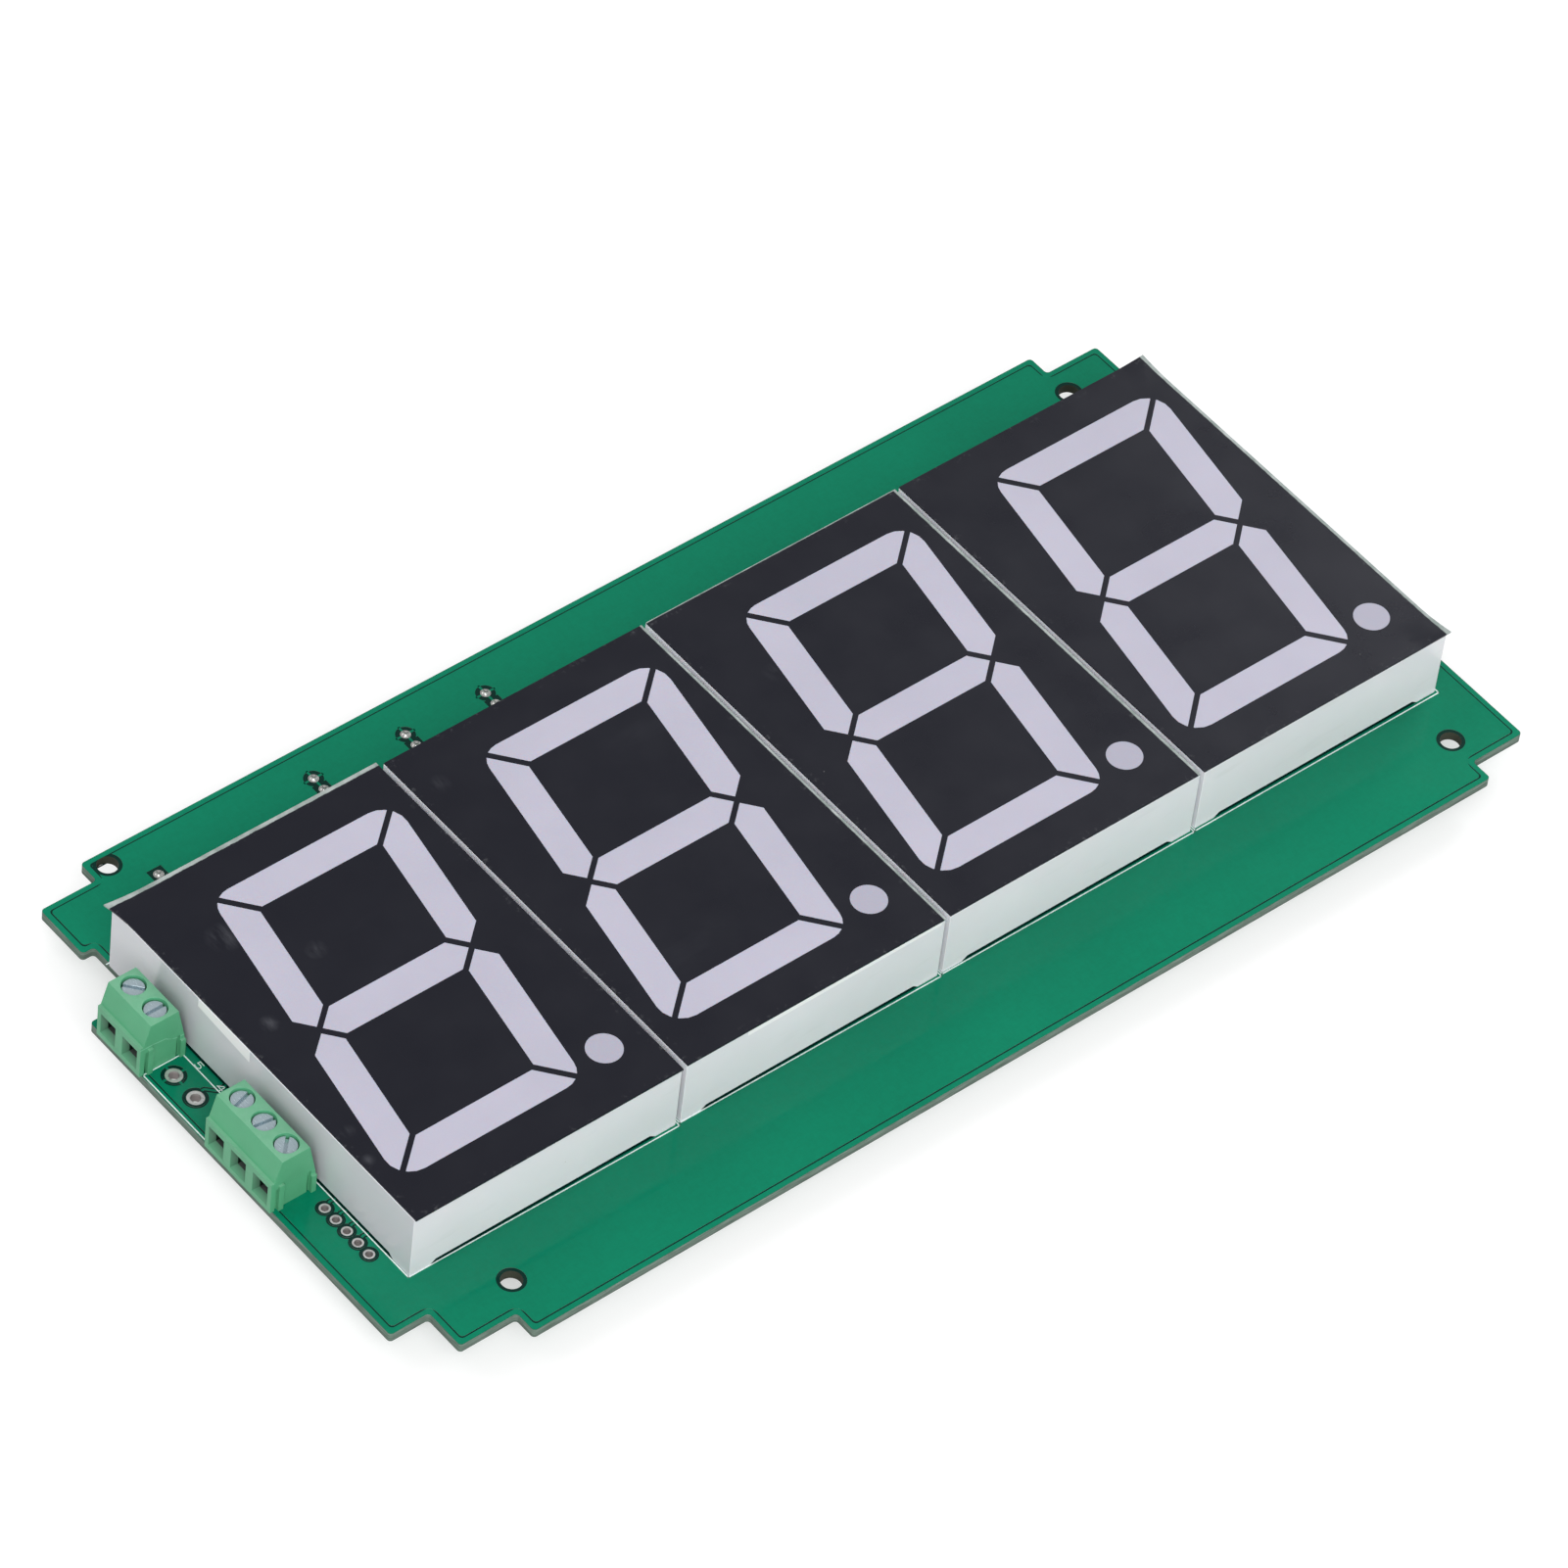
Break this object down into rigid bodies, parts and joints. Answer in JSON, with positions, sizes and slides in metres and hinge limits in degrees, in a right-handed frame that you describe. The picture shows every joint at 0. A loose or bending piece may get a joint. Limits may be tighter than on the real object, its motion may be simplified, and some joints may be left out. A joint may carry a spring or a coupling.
{
  "type": "seven segment display module",
  "caption": "Row of large leaning seven segment digits in white cases on a notched green board, with screw terminals along the left side.",
  "frame": {"origin": "middle of the module's outline in plan, level with the tips of the digit pins", "axes": "+X along the row of digits, away from the screw terminals; +Y up the digits; +Z out of the display face"},
  "size_m": [0.2086, 0.1058, 0.0187],
  "materials": {
    "solder_mask": "satin green solder mask over glass-fibre board",
    "plating": "tinned copper rings and hole walls",
    "solder": "bright solder",
    "case_white": "white moulded plastic, satin",
    "film_black": "black printed film, satin",
    "segment_resin": "milky translucent resin",
    "lamp_board_fibre": "bare glass-fibre board",
    "lamp_die": "small lamp dice",
    "pin_tin": "tinned wire",
    "terminal_green": "green moulded plastic, satin",
    "clamp_metal": "tinned brass",
    "screw_zinc": "zinc-plated steel",
    "chip_black": "black moulded epoxy",
    "chip_lead": "tinned lead frame",
    "resistor_black": "glazed black film on ceramic",
    "capacitor_tan": "tan ceramic",
    "end_metal": "tinned end caps",
    "can_sleeve": "dark shrink sleeve over an aluminium can"
  },
  "bodies": {
    "root": {"main_board": "solder_mask", "plated_holes": "plating", "pin_solder": "solder", "lead_solder": "solder", "digit_1_case": "case_white", "digit_1_face_film": "film_black", "digit_1_segments": "segment_resin", "digit_1_lamp_board": "lamp_board_fibre", "digit_1_lamp_dice": "lamp_die", "digit_1_pins": "pin_tin", "digit_2_case": "case_white", "digit_2_face_film": "film_black", "digit_2_segments": "segment_resin", "digit_2_lamp_board": "lamp_board_fibre", "digit_2_lamp_dice": "lamp_die", "digit_2_pins": "pin_tin", "digit_3_case": "case_white", "digit_3_face_film": "film_black", "digit_3_segments": "segment_resin", "digit_3_lamp_board": "lamp_board_fibre", "digit_3_lamp_dice": "lamp_die", "digit_3_pins": "pin_tin", "digit_4_case": "case_white", "digit_4_face_film": "film_black", "digit_4_segments": "segment_resin", "digit_4_lamp_board": "lamp_board_fibre", "digit_4_lamp_dice": "lamp_die", "digit_4_pins": "pin_tin", "signal_terminal_block": "terminal_green", "signal_terminal_clamps": "clamp_metal", "signal_terminal_screws": "screw_zinc", "power_terminal_block": "terminal_green", "power_terminal_clamps": "clamp_metal", "power_terminal_screws": "screw_zinc", "driver_chips": "chip_black", "driver_chip_leads": "chip_lead", "control_chip": "chip_black", "control_chip_leads": "chip_lead", "regulator": "chip_black", "regulator_leads": "chip_lead", "segment_resistors": "resistor_black", "segment_resistor_ends": "end_metal", "chip_capacitors": "capacitor_tan", "chip_capacitor_ends": "end_metal", "capacitor_cans": "can_sleeve", "capacitor_leads": "pin_tin"}
  },
  "joints": []
}
